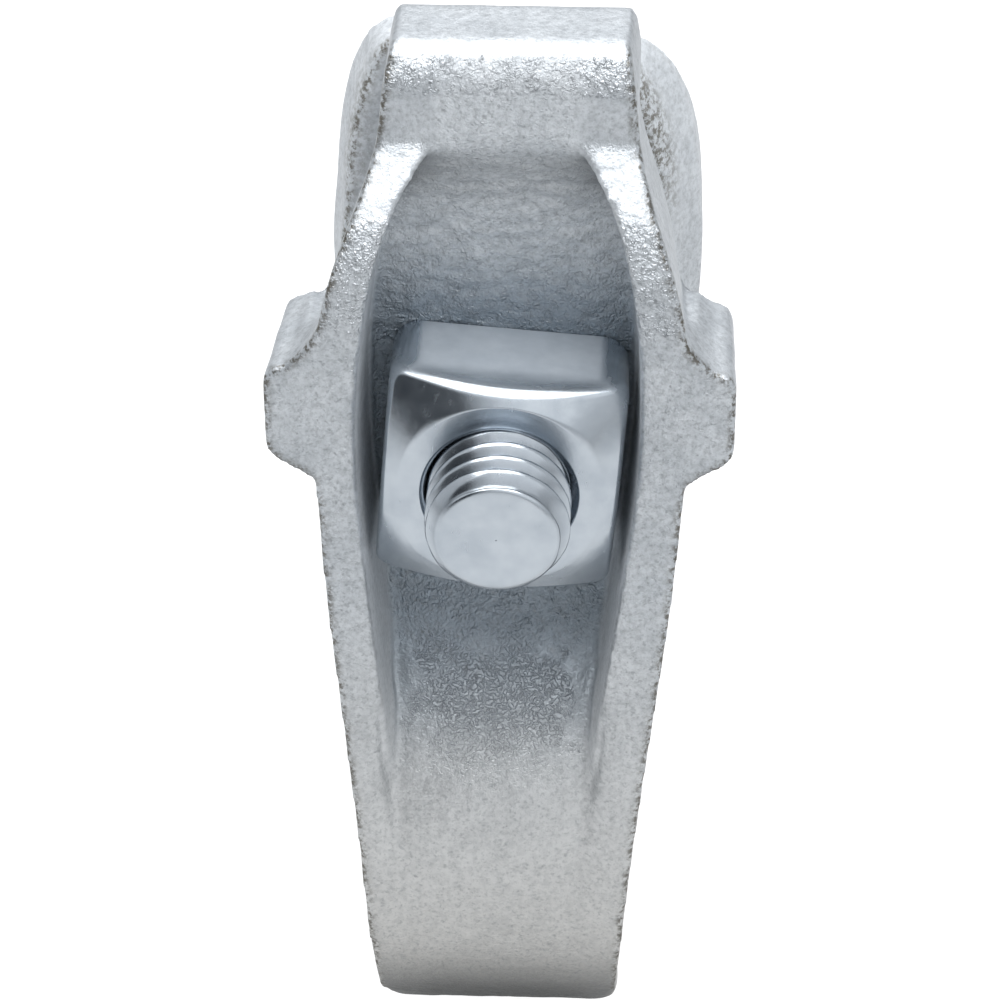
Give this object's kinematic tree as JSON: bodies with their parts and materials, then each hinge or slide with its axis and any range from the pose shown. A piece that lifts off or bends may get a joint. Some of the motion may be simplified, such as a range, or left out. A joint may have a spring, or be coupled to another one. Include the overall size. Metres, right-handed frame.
{
  "type": "parallel conduit clamp",
  "caption": "Two-part cast clamp that grips a beam flange in its upper throat and holds a conduit parallel to it in its lower arms, drawn up by a bolt and captive nut.",
  "frame": {"origin": "middle of the axis of the conduit that the clamp holds", "axes": "X along the conduit, +Y along the bolt from the nut to the head, +Z from the conduit towards the flange"},
  "size_m": [0.0306, 0.0502, 0.0856],
  "materials": {
    "casting": "sand-cast malleable iron, zinc plated, fine grain",
    "fastener": "smooth steel, bright zinc plated"
  },
  "bodies": {
    "hook": {"rear_hook": "casting"},
    "bolt": {"bolt": "fastener"},
    "jaw": {"front_jaw": "casting", "square_nut": "fastener"}
  },
  "joints": [
    {"name": "bolt_spin", "type": "hinge", "parent": "hook", "child": "bolt", "pos_m": [0, 0, 0.0335], "axis": [0, 1, 0], "range_deg": [-1080, 1080]},
    {"name": "jaw_slide", "type": "slide", "parent": "hook", "child": "jaw", "axis": [0, 1, 0], "range_m": [-0.0048, 0.0048]}
  ],
  "couplings": [
    {"joint": "jaw_slide", "follows": "bolt_spin", "m_per_rad": -0.00025266}
  ]
}
